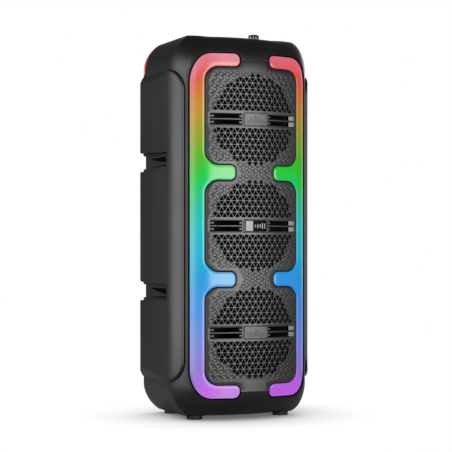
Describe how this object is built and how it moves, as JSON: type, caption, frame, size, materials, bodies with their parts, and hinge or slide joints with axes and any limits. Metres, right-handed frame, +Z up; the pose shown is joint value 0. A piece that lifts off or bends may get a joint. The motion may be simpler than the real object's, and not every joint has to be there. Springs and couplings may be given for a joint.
{
  "type": "party speaker",
  "caption": "Tall battery party speaker with a stack of woofers behind a moulded lattice, colour-lit E-shaped diffusers, side grip notches, a top volume knob and rear sockets.",
  "frame": {"origin": "centre of the footprint's bounding box, on the floor under the feet", "axes": "+Z up, front face with the lattice and diffusers towards -Y, +X towards the volume knob's side"},
  "size_m": [0.213, 0.1601, 0.5306],
  "materials": {
    "housing": "fine spark-eroded texture, matte charcoal",
    "side_rail": "fine spark-eroded texture, satin charcoal",
    "diffuser": "translucent, polished, lit from behind in a colour gradient",
    "light_pcb": "white solder mask with light emitters",
    "lattice": "moulded grey lattice, satin",
    "badge_plain": "moulded grey with a raised rim",
    "badge_gloss": "polished black",
    "badge_inlay": "brushed silver",
    "inner_board": "painted fibreboard",
    "basket": "black powder coat",
    "magnet": "plated steel and ferrite",
    "cone": "pressed paper pulp",
    "dust_cap": "pressed paper pulp",
    "surround": "moulded rubber roll",
    "spider": "woven, resin-dipped",
    "gloss_black": "polished black",
    "knob_metal": "knurled and polished",
    "encoder_metal": "plain",
    "circuit_board": "solder mask",
    "button": "satin",
    "battery_wrap": "shrink wrap",
    "inner_plastic": "plain",
    "port_tube": "satin",
    "rocker_red": "polished",
    "socket_black": "satin",
    "rear_glow": "translucent, lit orange",
    "foot_rubber": "moulded rubber",
    "screw_steel": "black zinc"
  },
  "bodies": {
    "cabinet": {"front_housing": "housing", "rear_housing": "housing", "rail_left": "side_rail", "rail_right": "side_rail", "side_panel_left": "housing", "side_panel_right": "housing", "lens_left": "diffuser", "lens_right": "diffuser", "light_board_left": "light_pcb", "light_board_right": "light_pcb", "grille": "lattice", "badge_top": "badge_plain", "badge_mid": "badge_gloss", "badge_mid_inlay": "badge_inlay", "badge_low": "badge_plain", "driver_board": "inner_board", "basket_1": "basket", "basket_2": "basket", "basket_3": "basket", "magnet_1": "magnet", "magnet_2": "magnet", "magnet_3": "magnet", "surround_1": "surround", "surround_2": "surround", "surround_3": "surround", "spider_1": "spider", "spider_2": "spider", "spider_3": "spider", "control_plate": "gloss_black", "encoder": "encoder_metal", "control_board": "circuit_board", "amp_board": "circuit_board", "battery_pack": "battery_wrap", "battery_strap": "inner_plastic", "bass_port": "port_tube", "socket_plate": "gloss_black", "switch_body": "inner_plastic", "charge_inlet": "socket_black", "mic_jack": "socket_black", "aux_jack": "socket_black", "rear_light_left": "rear_glow", "rear_light_right": "rear_glow", "foot_front_left": "foot_rubber", "foot_front_right": "foot_rubber", "foot_rear_left": "foot_rubber", "foot_rear_right": "foot_rubber", "housing_screws": "screw_steel"},
    "cone_1_body": {"cone_1": "cone", "dust_cap_1": "dust_cap"},
    "cone_2_body": {"cone_2": "cone", "dust_cap_2": "dust_cap"},
    "cone_3_body": {"cone_3": "cone", "dust_cap_3": "dust_cap"},
    "button_1_body": {"button_1": "button"},
    "button_2_body": {"button_2": "button"},
    "button_3_body": {"button_3": "button"},
    "button_4_body": {"button_4": "button"},
    "knob_body": {"volume_knob": "knob_metal"},
    "rocker_body": {"power_rocker": "rocker_red"}
  },
  "joints": [
    {"name": "cone_1_travel", "type": "slide", "parent": "cabinet", "child": "cone_1_body", "axis": [0, -1, 0], "range_m": [-0.003, 0.003], "stiffness_N_per_m": 2500, "deforming": ["surround_1", "spider_1"]},
    {"name": "cone_2_travel", "type": "slide", "parent": "cabinet", "child": "cone_2_body", "axis": [0, -1, 0], "range_m": [-0.003, 0.003], "stiffness_N_per_m": 2500, "deforming": ["surround_2", "spider_2"]},
    {"name": "cone_3_travel", "type": "slide", "parent": "cabinet", "child": "cone_3_body", "axis": [0, -1, 0], "range_m": [-0.003, 0.003], "stiffness_N_per_m": 2500, "deforming": ["surround_3", "spider_3"]},
    {"name": "button_1_press", "type": "slide", "parent": "cabinet", "child": "button_1_body", "axis": [0, 0, -1], "range_m": [0, 0.0008], "stiffness_N_per_m": 400, "springref_m": -0.0005},
    {"name": "button_2_press", "type": "slide", "parent": "cabinet", "child": "button_2_body", "axis": [0, 0, -1], "range_m": [0, 0.0008], "stiffness_N_per_m": 400, "springref_m": -0.0005},
    {"name": "button_3_press", "type": "slide", "parent": "cabinet", "child": "button_3_body", "axis": [0, 0, -1], "range_m": [0, 0.0008], "stiffness_N_per_m": 400, "springref_m": -0.0005},
    {"name": "button_4_press", "type": "slide", "parent": "cabinet", "child": "button_4_body", "axis": [0, 0, -1], "range_m": [0, 0.0008], "stiffness_N_per_m": 400, "springref_m": -0.0005},
    {"name": "volume_turn", "type": "hinge", "parent": "cabinet", "child": "knob_body", "pos_m": [0.0345, 0.002, 0.525], "axis": [0, 0, 1], "range_deg": [-150, 150]},
    {"name": "power_rock", "type": "hinge", "parent": "cabinet", "child": "rocker_body", "pos_m": [0.034, 0.0726, 0.375], "axis": [0, 0, 1], "range_deg": [-7, 7]}
  ]
}
